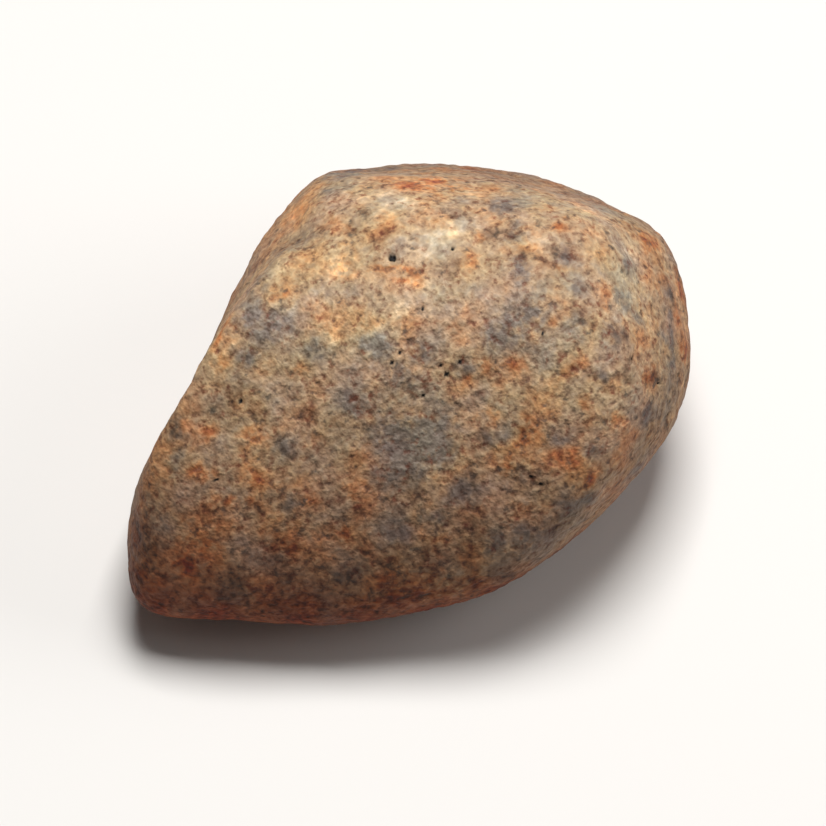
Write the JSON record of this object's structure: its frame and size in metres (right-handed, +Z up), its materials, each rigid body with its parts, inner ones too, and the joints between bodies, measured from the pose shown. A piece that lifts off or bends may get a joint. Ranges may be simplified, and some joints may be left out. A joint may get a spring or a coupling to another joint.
{
  "type": "chondrite meteorite",
  "caption": "Wind-smoothed stony meteorite: a blunt wedge with a pointed low nose, worn facets, one fresher break and a flat spot underneath that it rests on.",
  "frame": {"origin": "bottom centre of the stone's bounding box, in the plane of the flat spot it rests on", "axes": "+Z up, away from the flat spot; +X along the long axis, from the pointed nose at -X to the blunt end at +X; +Y towards the steep back, away from the sloping plateau"},
  "size_m": [0.0346, 0.0254, 0.019],
  "materials": {
    "weathered_chondrite": "fine-grained, matt to satin, tan to rust-brown with grey flecks"
  },
  "bodies": {
    "root": {"meteorite_stone": "weathered_chondrite"}
  },
  "joints": []
}
